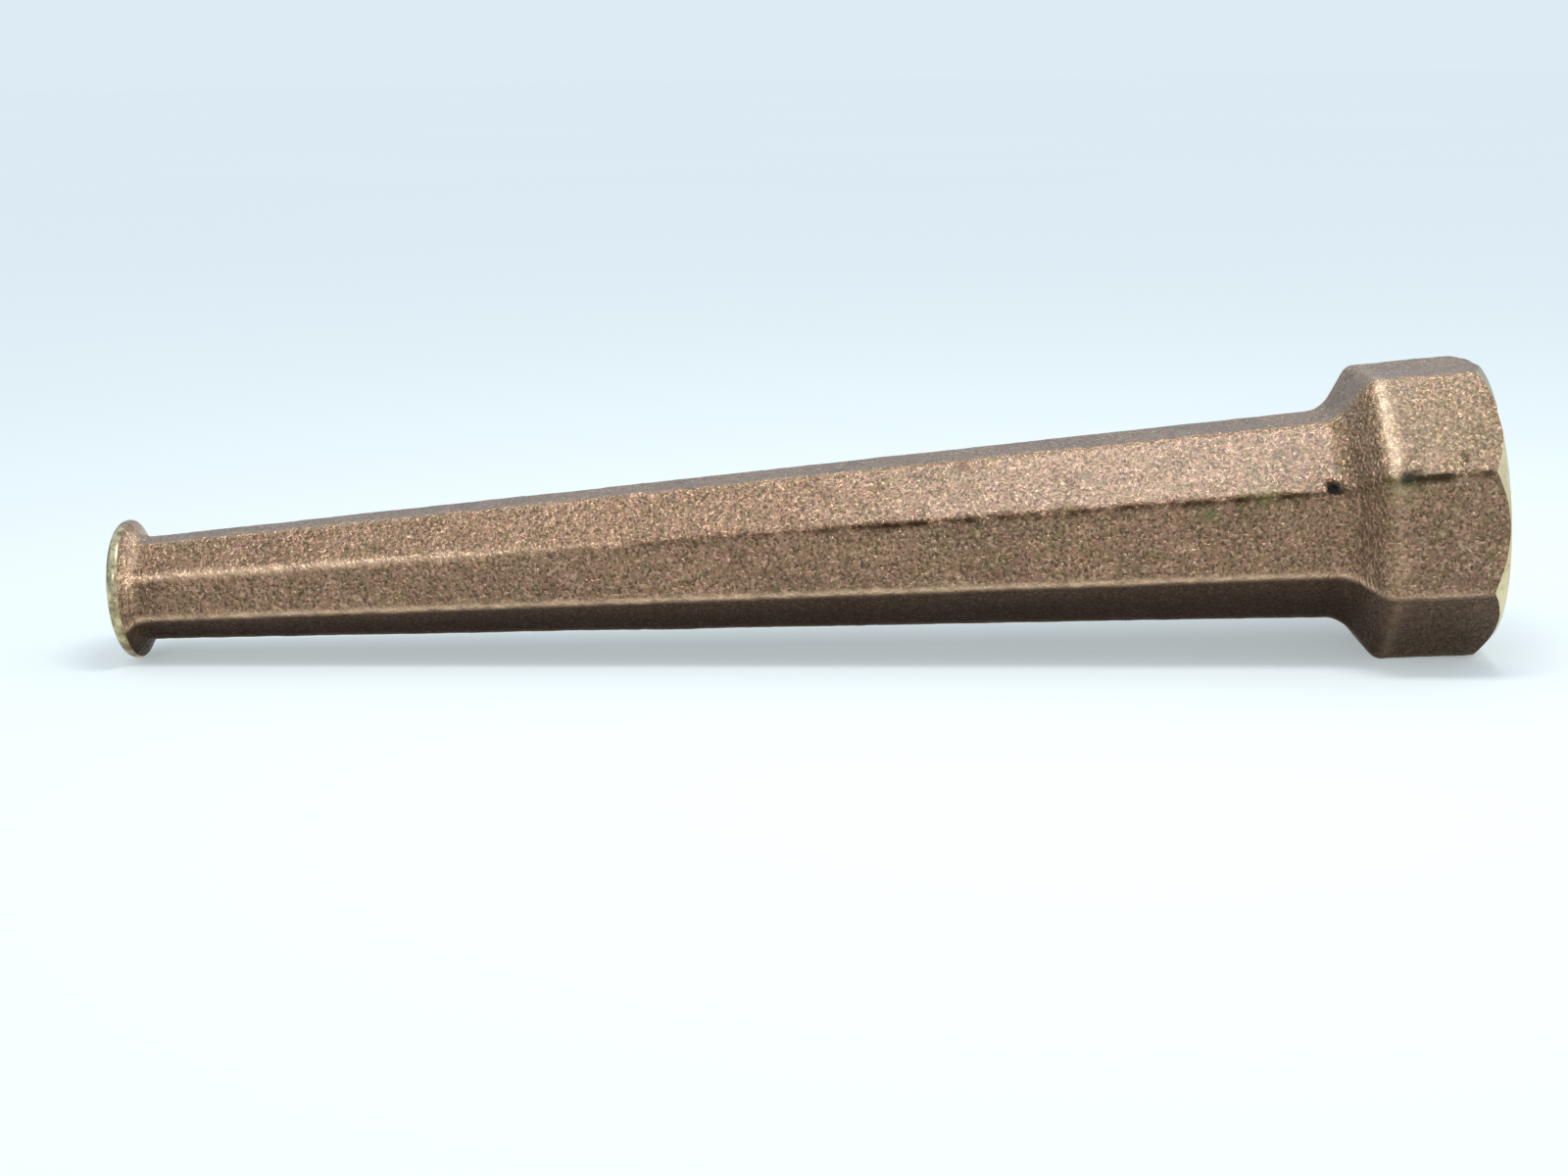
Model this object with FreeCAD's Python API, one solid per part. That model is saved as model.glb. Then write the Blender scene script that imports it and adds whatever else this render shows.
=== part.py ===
"""Octagonal straight-stream hose nozzle in cast bronze, with its rubber hose washer.

The X axis is the waterway's axis.  The origin is the centre of the inlet's end face, and +X
points out of the inlet, the way the hose coupling leaves.  The tip is at -X.  Two flats of the
octagon face up and down (+Z and -Z).  Sizes are in millimetres.
"""
import FreeCAD, Part
import math
import os

# Driving dimensions of the casting.
OVERALL_LENGTH = 203.2          # end face of the inlet to the face of the tip
HUB_FLATS_AT_FACE = 42.5        # across the hub's flats at the inlet's end face
HUB_FLATS_AT_SHOULDER = 41.7    # the hub's foundry draft makes it smaller here
HUB_LENGTH = 16.9               # end face to the sharp corner of hub and shoulder
HUB_CORNER_RADIUS = 1.4
SHOULDER_ANGLE = 54.0           # slope of the shoulder to the axis, in degrees
SHOULDER_COVE_RADIUS = 5.0      # hollow rounding where the body meets the shoulder
SHOULDER_CREST_RADIUS = 2.6     # rounding where the shoulder meets the hub
BODY_FLATS_LARGE = 29.42        # across the body's flats at BODY_LARGE_X
BODY_LARGE_X = -24.0
BODY_FLATS_SMALL = 15.42        # across the body's flats at BODY_SMALL_X
BODY_SMALL_X = -195.2
BODY_CORNER_RADIUS = 2.0

# The bead around the tip.
BEAD_RADIUS = 10.5
BEAD_NOSE_RADIUS = 1.4          # quarter round from the tip's face to the bead's widest ring
BEAD_BACK_RADIUS = 0.7
BEAD_BACK_ANGLE = 55.0          # slope of the bead's back to the axis, in degrees
BEAD_COVE_RADIUS = 2.8

# Turned surfaces at the inlet: a conical nose that only reaches the octagon's corners.
NOSE_RADIUS = 20.9              # radius of the end face
NOSE_SLOPE = 0.85               # growth of the cone's radius for each millimetre from the face
NOSE_DEPTH = 6.0                # length of the turning tool's cut along the axis
NOSE_OFFSET = 0.45              # the casting sits this far below the turning axis

# Waterway, female hose thread and washer seat.
THREAD_CREST_RADIUS = 15.5      # the smooth wall at the crests of a 1 inch, 11.5 turns thread
THREAD_START_X = -1.2
THREAD_END_X = -12.6
MOUTH_RADIUS = 16.7             # the thread's lead-in at the end face
RECESS_RADIUS = 16.9            # washer recess behind the thread
SEAT_X = -16.0                  # flat seat that the washer is pressed against
WATERWAY_INLET_RADIUS = 11.5
ORIFICE_RADIUS = 4.75
ORIFICE_LENGTH = 10.0           # the straight part of the waterway at the tip

# Rubber hose washer.
WASHER_OUTER_RADIUS = 16.7
WASHER_INNER_RADIUS = 12.25
WASHER_THICKNESS = 3.0

SIDES = 8
HALF_SIDE_ANGLE = math.pi / SIDES
ARC_STEPS = 6                   # straight spans that stand for each rounding of the shoulder
X_AXIS = FreeCAD.Vector(1, 0, 0)
AXIS_POINT = FreeCAD.Vector(0, 0, 0)
TOOL_RADIUS = 40.0              # larger than anything on the casting


def body_slope():
    """Growth of the body's half size across flats for each millimetre towards the inlet."""
    rise = (BODY_FLATS_LARGE - BODY_FLATS_SMALL) / 2
    return rise / (BODY_LARGE_X - BODY_SMALL_X)


def body_apothem(x):
    """Half the body's size across flats at x."""
    return BODY_FLATS_SMALL / 2 + body_slope() * (x - BODY_SMALL_X)


def hub_slope():
    """Growth of the hub's half size across flats for each millimetre towards the inlet."""
    return (HUB_FLATS_AT_FACE - HUB_FLATS_AT_SHOULDER) / 2 / HUB_LENGTH


def hub_apothem(x):
    """Half the hub's size across flats at x."""
    return HUB_FLATS_AT_FACE / 2 + hub_slope() * x


def rounding(x, apothem, slope_in, slope_out, radius):
    """Points (x, half size) along an arc that rounds the corner of two straight runs at x."""
    start = math.atan(slope_in)
    end = math.atan(slope_out)
    tangent = radius * math.tan(abs(end - start) / 2)
    side = 1 if end > start else -1
    x_start = x - tangent * math.cos(start)
    a_start = apothem - tangent * math.sin(start)
    x_centre = x_start - side * radius * math.sin(start)
    a_centre = a_start + side * radius * math.cos(start)
    points = []
    for step in range(ARC_STEPS + 1):
        angle = start + (end - start) * step / ARC_STEPS
        px = x_centre + side * radius * math.sin(angle)
        pa = a_centre - side * radius * math.cos(angle)
        points.append((px, pa))
    return points


def outline():
    """Points (x, half size across flats) of the octagon from the tip to the inlet's face."""
    shoulder_slope = math.tan(math.radians(SHOULDER_ANGLE))
    x_crest = -HUB_LENGTH
    run = body_apothem(0) - hub_apothem(x_crest) + shoulder_slope * x_crest
    x_cove = run / (shoulder_slope - body_slope())
    x_tip = -OVERALL_LENGTH + BEAD_NOSE_RADIUS
    points = [(x_tip, body_apothem(x_tip))]
    points += rounding(x_cove, body_apothem(x_cove), body_slope(), shoulder_slope,
                       SHOULDER_COVE_RADIUS)
    points += rounding(x_crest, hub_apothem(x_crest), shoulder_slope, hub_slope(),
                       SHOULDER_CREST_RADIUS)
    points.append((0.0, hub_apothem(0)))
    return points


def corner_radius(apothem):
    """The body's corner radius, easing to the hub's as the octagon grows over the shoulder."""
    small = BODY_FLATS_LARGE / 2
    large = HUB_FLATS_AT_SHOULDER / 2
    share = min(max((apothem - small) / (large - small), 0.0), 1.0)
    return BODY_CORNER_RADIUS + share * (HUB_CORNER_RADIUS - BODY_CORNER_RADIUS)


def around(x, radius, angle):
    """Point at this radius and angle around the X axis."""
    return FreeCAD.Vector(x, radius * math.cos(angle), radius * math.sin(angle))


def octagon(x, apothem):
    """Closed wire of eight flats and eight corner arcs, square to the X axis."""
    radius = corner_radius(apothem)
    centre_distance = (apothem - radius) / math.cos(HALF_SIDE_ANGLE)
    edges = []
    previous = None
    first = None
    for side in range(SIDES):
        flat_angle = 2 * HALF_SIDE_ANGLE * side
        corner_angle = flat_angle + HALF_SIDE_ANGLE
        centre = around(x, centre_distance, corner_angle)
        start = centre + around(0, radius, flat_angle)
        middle = centre + around(0, radius, corner_angle)
        end = centre + around(0, radius, flat_angle + 2 * HALF_SIDE_ANGLE)
        if previous is not None:
            edges.append(Part.LineSegment(previous, start).toShape())
        else:
            first = start
        edges.append(Part.Arc(start, middle, end).toShape())
        previous = end
    edges.append(Part.LineSegment(previous, first).toShape())
    return Part.Wire(edges)


def turned(points):
    """Solid of revolution about the X axis from a closed outline of (x, radius) points."""
    vectors = [FreeCAD.Vector(x, 0, radius) for x, radius in points]
    wire = Part.makePolygon(vectors + vectors[:1])
    return Part.Face(wire).revolve(AXIS_POINT, X_AXIS, 360)


def arc_points(x_centre, r_centre, radius, start, end):
    """Start, middle and end of an arc in the XZ plane; angles in degrees, from +X towards +Z."""
    points = []
    for angle in (start, (start + end) / 2, end):
        turn = math.radians(angle)
        points.append(FreeCAD.Vector(x_centre + radius * math.cos(turn), 0,
                                     r_centre + radius * math.sin(turn)))
    return points


def tip_bead():
    """Rounded bead: a nose arc, a back arc, a sloping back and a cove down to the flats."""
    x_face = -OVERALL_LENGTH
    x_ring = x_face + BEAD_NOSE_RADIUS
    nose = arc_points(x_ring, BEAD_RADIUS - BEAD_NOSE_RADIUS, BEAD_NOSE_RADIUS, 180, 90)
    back = arc_points(x_ring, BEAD_RADIUS - BEAD_BACK_RADIUS, BEAD_BACK_RADIUS,
                      90, 90 - BEAD_BACK_ANGLE)
    slope = math.radians(BEAD_BACK_ANGLE)
    cove_r = body_apothem(x_ring) + BEAD_COVE_RADIUS
    cove_top = cove_r - BEAD_COVE_RADIUS * math.cos(slope)
    cove_top_x = back[-1].x + (back[-1].z - cove_top) / math.tan(slope)
    cove_x = cove_top_x + BEAD_COVE_RADIUS * math.sin(slope)
    cove = arc_points(cove_x, cove_r, BEAD_COVE_RADIUS, 270 - BEAD_BACK_ANGLE, 270)
    face_centre = FreeCAD.Vector(x_face, 0, 0)
    foot_centre = FreeCAD.Vector(cove[-1].x, 0, 0)
    edges = [
        Part.LineSegment(face_centre, nose[0]).toShape(),
        Part.Arc(*nose).toShape(),
        Part.Arc(*back).toShape(),
        Part.LineSegment(back[-1], cove[0]).toShape(),
        Part.Arc(*cove).toShape(),
        Part.LineSegment(cove[-1], foot_centre).toShape(),
        Part.LineSegment(foot_centre, face_centre).toShape(),
    ]
    return Part.Face(Part.Wire(edges)).revolve(AXIS_POINT, X_AXIS, 360)


def nose_tool():
    """Ring that turning takes off the hub's corners, leaving the conical nose."""
    cone_back = NOSE_RADIUS + NOSE_SLOPE * NOSE_DEPTH
    ring = turned([
        (0.0, NOSE_RADIUS),
        (-NOSE_DEPTH, cone_back),
        (-NOSE_DEPTH, TOOL_RADIUS),
        (1.0, TOOL_RADIUS),
        (1.0, NOSE_RADIUS),
    ])
    ring.translate(FreeCAD.Vector(0, 0, NOSE_OFFSET))
    return ring


def waterway():
    """Everything bored out: thread wall, washer recess, tapered waterway and orifice."""
    x_orifice = -OVERALL_LENGTH + ORIFICE_LENGTH
    return turned([
        (1.0, 0.0),
        (1.0, MOUTH_RADIUS),
        (0.0, MOUTH_RADIUS),
        (THREAD_START_X, THREAD_CREST_RADIUS),
        (THREAD_END_X, THREAD_CREST_RADIUS),
        (THREAD_END_X, RECESS_RADIUS),
        (SEAT_X, RECESS_RADIUS),
        (SEAT_X, WATERWAY_INLET_RADIUS),
        (x_orifice, ORIFICE_RADIUS),
        (-OVERALL_LENGTH - 1.0, ORIFICE_RADIUS),
        (-OVERALL_LENGTH - 1.0, 0.0),
    ])


def nozzle_body():
    """One bronze casting: octagonal taper, shoulder, hub and tip bead, bored and turned."""
    sections = [octagon(x, apothem) for x, apothem in outline()]
    casting = Part.makeLoft(sections, True, True)
    casting = casting.fuse(tip_bead())
    return casting.cut(nose_tool()).cut(waterway())


def hose_washer():
    """Flat rubber ring that lies on the seat behind the thread."""
    x_front = SEAT_X + WASHER_THICKNESS
    return turned([
        (SEAT_X, WASHER_INNER_RADIUS),
        (SEAT_X, WASHER_OUTER_RADIUS),
        (x_front, WASHER_OUTER_RADIUS),
        (x_front, WASHER_INNER_RADIUS),
    ])


os.makedirs("parts", exist_ok=True)
SUBPARTS = {
    "nozzle_body": nozzle_body(),
    "hose_washer": hose_washer(),
}
for node, shape in SUBPARTS.items():
    shape.exportStep("parts/" + node + ".step")
    print(node, "valid", shape.isValid(), "solids", len(shape.Solids),
          "volume", round(shape.Volume, 1), "mm3")
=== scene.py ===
"""Looks of an octagonal cast bronze hose nozzle, built around its packed frame.

The nozzle lies along the X axis with its inlet face at x = 0 and its tip at -X.  Angles around
the X axis are counted from +Y towards +Z, so the side at -Y is at 180 degrees.
"""
import itertools
import math

import bpy
import numpy as np
from bpy.props import FloatProperty, FloatVectorProperty, PointerProperty
from mathutils import Matrix, Vector


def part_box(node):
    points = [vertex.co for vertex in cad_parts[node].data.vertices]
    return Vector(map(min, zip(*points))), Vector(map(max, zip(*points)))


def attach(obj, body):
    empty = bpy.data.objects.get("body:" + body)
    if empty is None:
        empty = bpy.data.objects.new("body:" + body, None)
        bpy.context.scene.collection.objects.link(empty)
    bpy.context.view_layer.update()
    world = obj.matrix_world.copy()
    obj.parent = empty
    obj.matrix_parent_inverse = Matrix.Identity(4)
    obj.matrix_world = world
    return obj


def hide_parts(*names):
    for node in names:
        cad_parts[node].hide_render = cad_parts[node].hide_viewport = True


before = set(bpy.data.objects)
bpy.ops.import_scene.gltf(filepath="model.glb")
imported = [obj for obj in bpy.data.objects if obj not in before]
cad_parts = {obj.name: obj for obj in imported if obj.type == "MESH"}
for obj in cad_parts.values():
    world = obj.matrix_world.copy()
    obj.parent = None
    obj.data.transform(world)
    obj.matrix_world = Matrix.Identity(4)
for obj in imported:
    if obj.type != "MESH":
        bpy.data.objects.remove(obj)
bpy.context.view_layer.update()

bl_info = {
    "name": "Octagonal hose nozzle",
    "version": (1, 0, 0),
    "blender": (4, 5, 0),
    "location": "3D View > Sidebar > Nozzle",
    "description": "Cast bronze hose nozzle with its rubber washer, on a pale studio table",
    "category": "Object",
}

BODY_LOW, BODY_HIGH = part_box("nozzle_body")
WASHER_LOW, WASHER_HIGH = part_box("hose_washer")

SIDES = 8
HALF_SIDE = math.pi / SIDES
FLAT_COLUMNS = 20               # columns of the mesh along each flat
CORNER_COLUMNS = 10             # columns around each rounded corner
TAPER_ROWS = 196
HUB_ROWS = 26
THREAD_ROWS = 78
WASHER_COLUMNS = 128
SEAM_CORNER = 7 * HALF_SIDE     # the mould's parting line runs through this corner
LOW_CORNER = 9 * HALF_SIDE      # the next corner down, on the side towards the camera
BRIGHT_EDGE_WIDTH = 0.0006              # half width of the bright strip along a corner: rubbed metal and painted highlight
SEAM_WIDTH = 0.00055            # half width of the dark line along the seam
GRAIN_HEIGHT = 0.00055          # bump of the sand grain
THREAD_FLANK = math.radians(30)
TABLE_REACH = 6.0               # metres from the middle to each edge
BEAD_END, HUB_START = -0.190, -0.030    # x of what can touch the table
SKIN, TURNED, THREADED, BORED, TIP = range(5)       # finishes, in the order of the slots
# Machined finishes: material, rings per metre, their depth, roughness, share of tarnish and
# patches of it per metre.
MACHINED = (
    ("turned_bronze", 9000.0, 0.000010, 0.16, 0.15, 300.0),
    ("thread_bronze", 12000.0, 0.000006, 0.20, 0.32, 300.0),
    ("bored_bronze", 5000.0, 0.000020, 0.30, 0.60, 250.0),
    ("tip_bronze", 9000.0, 0.000010, 0.18, 0.62, 380.0),
)
SHADE_AND_SEAM = (0.040, 0.017, 0.007)   # painted shade of the side facing down, also the dark seam line
RUST = (0.17, 0.075, 0.02)
PIT_SHADE = (0.012, 0.010, 0.008)    # painted shade inside the pits
BLOOM = (0.075, 0.075, 0.08)    # on the rubber
GLOW = (0.92, 0.99, 1.0)        # light through the table
ROOM = (0.82, 0.93, 1.04)       # light from the room
BACKDROP = (0.772, 0.866, 0.922)
HASH_PRIMES = np.array([73856093, 19349663, 83492791], dtype=np.int64)


# Sizes and colours that a user would change

def length(description, default):
    """A size in metres."""
    return FloatProperty(description=description, default=default, min=0.0, unit="LENGTH",
                         precision=5)


def place(description, default):
    """A signed position in metres."""
    return FloatProperty(description=description, default=default, unit="LENGTH", precision=5)


def turn(description, degrees):
    """An angle."""
    return FloatProperty(description=description, default=math.radians(degrees),
                         subtype="ANGLE", unit="ROTATION")


def number(description, default):
    """A plain number."""
    return FloatProperty(description=description, default=default)


def colour(description, default):
    """A colour."""
    return FloatVectorProperty(description=description, default=default, subtype="COLOR",
                               size=3, min=0.0, max=1.0)


class CastingSizes(bpy.types.PropertyGroup):
    """Outside of the bronze casting."""
    overall_length: length("Inlet face to tip face", BODY_HIGH.x - BODY_LOW.x)
    hub_flats_face: length("Across the hub's flats at the inlet's end", 0.0425)
    hub_flats_shoulder: length("Across the hub's flats at the shoulder", 0.0417)
    hub_length: length("Inlet face to the corner of hub and shoulder", 0.0169)
    hub_corner: length("Rounding of the hub's eight corners", 0.0014)
    shoulder_angle: turn("Slope of the shoulder to the axis", 54)
    shoulder_cove: length("Hollow rounding at the shoulder's foot", 0.005)
    shoulder_crest: length("Rounding where shoulder meets hub", 0.0026)
    body_flats_large: length("Across flats beside the shoulder", 0.02942)
    body_large_x: place("Where the large end is measured", -0.024)
    body_flats_small: length("Across flats beside the tip", 0.01542)
    body_small_x: place("Where the small end is measured", -0.1952)
    body_corner: length("Rounding of the body's eight corners", 0.002)
    bead_radius: length("Radius of the bead around the tip", 0.0105)
    bead_nose: length("Turned quarter round at the tip's edge", 0.0014)
    bead_back: length("Rounding of the bead's back", 0.0007)
    bead_slope: turn("Slope of the bead's back to the axis", 55)
    bead_cove: length("Hollow rounding behind the bead", 0.0028)
    bead_land: length("How far the tool has cut behind the bead's nose", 0.0005)
    nose_radius: length("Radius of the turned cone at the inlet's face", 0.0209)
    nose_slope: number("Growth of the cone's radius along the axis", 0.85)
    nose_offset: length("How far the casting sits below the turning axis", 0.00045)


class BoreSizes(bpy.types.PropertyGroup):
    """Inside of the bronze casting."""
    mouth_radius: length("Lead-in of the thread at the face", 0.0167)
    thread_crest: length("Radius at the thread's crests", 0.0155)
    thread_root: length("Radius at the thread's roots", 0.0166)
    thread_pitch: length("Advance of the thread in one turn", 0.0022087)
    thread_end: place("Where the thread runs into the recess", -0.0126)
    recess_radius: length("Radius of the washer recess", 0.0169)
    seat: place("Flat seat of the washer", -0.016)
    waterway_radius: length("Radius of the waterway at the seat", 0.0115)
    orifice_radius: length("Radius of the orifice", 0.00475)
    orifice_length: length("Straight length at the tip", 0.010)


class SkinLook(bpy.types.PropertyGroup):
    """Relief and colours of the sand-cast skin and the turned faces."""
    swell: length("Depth of the broad unevenness of the flats", 0.00016)
    lumps: length("Depth of the lumps left by the mould", 0.00009)
    grains: length("Depth of the sand grains in the mesh", 0.00007)
    flash: length("Height of the ground-off parting line", 0.00010)
    bronze: colour("Cast bronze in the light", (0.355, 0.222, 0.135))
    bronze_dark: colour("Burnt sand skin between the grains", (0.085, 0.050, 0.027))
    bronze_pink: colour("Copper-rich grains", (0.56, 0.345, 0.255))
    patina: colour("Greenish stain in the hollows", (0.22, 0.215, 0.09))
    # Colour of metal rubbed bright on the edges, also of painted highlights on the edges and
    # painted glints on the grains.
    burnished: colour("Metal rubbed bright on the edges", (0.85, 0.60, 0.41))
    # Painted shade: strength of the darkening of the flats facing down and of the bead's back
    # below, also of the dark seam line.
    underside: number("Darkening of the side it lies on, 0 to 1", 0.90)
    turned: colour("Fresh cut metal", (0.80, 0.69, 0.45))
    tarnish: colour("Brown film on old cut metal", (0.10, 0.065, 0.033))
    rubber: colour("Hose washer", (0.022, 0.022, 0.024))


class StageLook(bpy.types.PropertyGroup):
    """Table, lights and camera."""
    camera_distance: length("From the point it looks at", 0.3572)
    camera_height: turn("Elevation above the nozzle's axis", 12.77)
    camera_turn: turn("Around the vertical, from straight ahead", -2.51)
    camera_roll: turn("Tilt of the picture", -4.16)
    camera_along: place("Shift of the aim in the picture", -0.0012)
    camera_up: place("Shift of the aim in the picture", -0.0062)
    focal_length: number("Of the lens, in millimetres", 54.53)
    table: colour("Pale table top", (0.40, 0.415, 0.415))
    glow: number("Light that comes up through the table top", 0.45)
    key_power: number("Power of the overhead lamp in watts", 0.66)
    side_power: number("Power of the small lamp at the left in watts", 0.16)
    rim_power: number("Power of the small lamp at the upper left in watts", 0.05)
    room: number("Brightness of the room", 1.0)


# Shapes as functions of two parameters

def lattice_noise(points, cell, seed):
    """Random field from 0 to 1: random values at the corners of cubes of side cell, mixed with
    the weight 3t^2 - 2t^3 along each axis."""
    grid = points / cell
    base = np.floor(grid).astype(np.int64)
    fade = grid - base
    fade = fade * fade * (3 - 2 * fade)
    total = np.zeros(points.shape[:-1])
    for corner in itertools.product((0, 1), repeat=3):
        corner = np.array(corner)
        key = ((base + corner) * HASH_PRIMES).sum(axis=-1) + seed * 7919
        key = (key ^ (key >> 13)) * 1274126177
        key = (key ^ (key >> 16)) & 0xFFFF
        weight = np.prod(np.where(corner == 1, fade, 1 - fade), axis=-1)
        total += weight * key / 0xFFFF
    return total


def smooth_step(low, high, value):
    """0 below low, 1 above high, and 3t^2 - 2t^3 between."""
    t = np.clip((value - low) / (high - low), 0, 1)
    return t * t * (3 - 2 * t)


def peak(distance, width, power=2):
    """exp(-(distance / width)^power)"""
    return np.exp(-(distance / width) ** power)


def rounded_line(points, radii, steps):
    """Open line through points, each inner corner replaced by an arc of its own radius that is
    tangent to both runs: its centre lies on the bisector, radius / cos(half turn) away."""
    points = np.asarray(points, float)
    line = [points[:1]]
    for before, corner, after, radius in zip(points, points[1:], points[2:], radii):
        way_in = (corner - before) / np.linalg.norm(corner - before)
        way_out = (after - corner) / np.linalg.norm(after - corner)
        cross = way_in[0] * way_out[1] - way_in[1] * way_out[0]
        bend = math.atan2(cross, float(way_in @ way_out))
        if radius <= 0 or abs(bend) < 1e-6:
            line.append(corner[None])
            continue
        start = corner - way_in * radius * math.tan(abs(bend) / 2)
        side = math.copysign(1.0, bend)
        normal = np.array([-way_in[1], way_in[0]]) * side
        centre = start + normal * radius
        angles = np.linspace(0, bend, steps + 1)
        spoke = -normal
        turned = np.stack([spoke[0] * np.cos(angles) - spoke[1] * np.sin(angles),
                           spoke[0] * np.sin(angles) + spoke[1] * np.cos(angles)], axis=1)
        line.append(centre + radius * turned)
    line.append(points[-1:])
    return np.vstack(line)


def spread(low, high, count, crowd=(), width=0.002, extra=3.0):
    """count values from low to high, closer together near each place in crowd: the values cut
    the area under 1 + extra * sum(peak(x - place, width)) into equal parts."""
    fine = np.linspace(low, high, 4000)
    density = np.ones_like(fine)
    for spot in crowd:
        density += extra * peak(fine - spot, width)
    area = np.concatenate([[0], np.cumsum((density[1:] + density[:-1]) / 2)])
    return np.interp(np.linspace(0, area[-1], count), area, fine)


def column_layout():
    """Side that every mesh column belongs to, and its step along that side."""
    columns = FLAT_COLUMNS + CORNER_COLUMNS
    return np.repeat(np.arange(SIDES), columns), np.tile(np.arange(columns), SIDES)


def octagon_columns(apothem, corner):
    """Polar radius and angle of every mesh column on a rounded octagon.

    Each side is a straight run of half length (apothem - corner) tan(22.5 deg) followed by an
    arc of radius corner whose centre is (apothem - corner) / cos(22.5 deg) from the axis.
    apothem and corner have one value per row, or one per row and column."""
    side, step = column_layout()
    flat_angle = 2 * HALF_SIDE * side
    on_flat = step < FLAT_COLUMNS
    along = np.where(on_flat, step / FLAT_COLUMNS, 0) * 2 - 1
    bend = np.where(on_flat, 0, (step - FLAT_COLUMNS) / CORNER_COLUMNS) * 2 * HALF_SIDE
    apothem, corner, _ = np.broadcast_arrays(apothem, corner, along[None])
    run = (apothem - corner) * math.tan(HALF_SIDE) * along
    flat_y = apothem * np.cos(flat_angle) - run * np.sin(flat_angle)
    flat_z = apothem * np.sin(flat_angle) + run * np.cos(flat_angle)
    centre = (apothem - corner) / math.cos(HALF_SIDE)
    arc_y = centre * np.cos(flat_angle + HALF_SIDE) + corner * np.cos(flat_angle + bend)
    arc_z = centre * np.sin(flat_angle + HALF_SIDE) + corner * np.sin(flat_angle + bend)
    y = np.where(on_flat, flat_y, arc_y)
    z = np.where(on_flat, flat_z, arc_z)
    return np.hypot(y, z), np.unwrap(np.arctan2(z, y), axis=-1)


def facing_angle():
    """Angle that the surface faces at every mesh column: constant along a flat, and turning
    evenly around a corner."""
    side, step = column_layout()
    return 2 * HALF_SIDE * (side + np.clip(step - FLAT_COLUMNS, 0, None) / CORNER_COLUMNS)


def angle_off_corner(angle):
    """Angle to the nearest corner of the octagon: 0 on it, half a side on a flat's middle."""
    return HALF_SIDE - np.abs((angle + HALF_SIDE) % (2 * HALF_SIDE) - HALF_SIDE)


def octagon_radius(angle, apothem, corner):
    """Polar radius of a rounded octagon at any angle: apothem / cos(angle from the flat) on the
    flats, and the far crossing with the corner's circle elsewhere."""
    off_corner = angle_off_corner(angle)
    off_flat = HALF_SIDE - off_corner
    centre = (apothem - corner) / math.cos(HALF_SIDE)
    on_arc = centre * np.cos(off_corner) + np.sqrt(
        np.clip(corner ** 2 - (centre * np.sin(off_corner)) ** 2, 0, None))
    flat_ends = np.arctan2((apothem - corner) * math.tan(HALF_SIDE), apothem)
    return np.where(off_flat < flat_ends, apothem / np.cos(off_flat), on_arc)


def off_axis(points):
    """Distance from the X axis."""
    return np.hypot(points[..., 1], points[..., 2])


def on_axis(points):
    """The points moved onto the X axis, for noise that varies along it only."""
    moved = points.copy()
    moved[..., 1:] = 0
    return moved


def distance_on_skin(points, angle, x, degrees, shrink=1.0):
    """Distance along the skin from the spot at x and this angle, with x counted shrink times."""
    off = (angle - math.radians(degrees) + math.pi) % (2 * math.pi) - math.pi
    return np.hypot((points[..., 0] - x) * shrink, off * off_axis(points))


def cylinder_points(x, radius, angle):
    """Points at x, at this radius and angle around the X axis."""
    x, radius, angle = np.broadcast_arrays(x, radius, angle)
    return np.stack([x, radius * np.cos(angle), radius * np.sin(angle)], axis=-1)


# The casting

FULL_DARK_DEPTH = 0.0004        # a pit this deep is dark all over
# Single blemishes of the skin: x in metres, angle in degrees, radius and depth in metres.
BLOW_HOLES = (
    (-0.0232, 155.5, 0.00110, 0.00095),
    (-0.0389, 174.8, 0.00042, 0.00022),
    (-0.0057, 151.5, 0.00060, 0.00025),
    (-0.0143, 157.8, 0.00110, 0.00030),
    (-0.0126, 157.6, 0.00080, 0.00018),
    (-0.0033, 158.2, 0.00070, 0.00018),
    (-0.0243, 198.8, 0.00035, 0.00012),
    (-0.0610, 20.0, 0.00055, 0.00035),
    (-0.1230, 292.0, 0.00050, 0.00030),
    (-0.0095, 66.0, 0.00070, 0.00030),
)
# Stains: x, angle, spread in metres and strength; positive is rust brown, negative green.
STAINS = (
    (-0.0080, 135.0, 0.01200, -0.20),
    (-0.0884, 128.8, 0.00055, 1.0),
    (-0.0753, 117.2, 0.00075, 0.9),
    (-0.0411, 164.8, 0.00110, -0.8),
    (-0.0460, 147.5, 0.00090, -0.5),
    (-0.0330, 158.0, 0.00160, -0.6),
    (-0.0150, 160.0, 0.00200, -0.6),
)


def body_apothem(size, x):
    """Half the size across flats of the straight taper at x."""
    rise = (size.body_flats_large - size.body_flats_small) / 2
    slope = rise / (size.body_large_x - size.body_small_x)
    return size.body_flats_small / 2 + slope * (x - size.body_small_x)


def hub_apothem(size, x):
    """Half the hub's size across flats at x, with its foundry draft."""
    slope = (size.hub_flats_face - size.hub_flats_shoulder) / 2 / size.hub_length
    return size.hub_flats_face / 2 + slope * x


def octagon_outline(size):
    """Line (x, half size across flats) from the tip to the inlet: taper, cove, shoulder, crest
    and hub."""
    x_crest = -size.hub_length
    steep = math.tan(size.shoulder_angle)
    slope = body_apothem(size, 1.0) - body_apothem(size, 0.0)
    run = body_apothem(size, 0.0) - hub_apothem(size, x_crest) + steep * x_crest
    x_cove = run / (steep - slope)
    return rounded_line(
        [(-size.overall_length, body_apothem(size, -size.overall_length)),
         (x_cove, body_apothem(size, x_cove)),
         (x_crest, hub_apothem(size, x_crest)),
         (0.0, hub_apothem(size, 0.0))],
        [size.shoulder_cove, size.shoulder_crest], 8)


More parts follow.
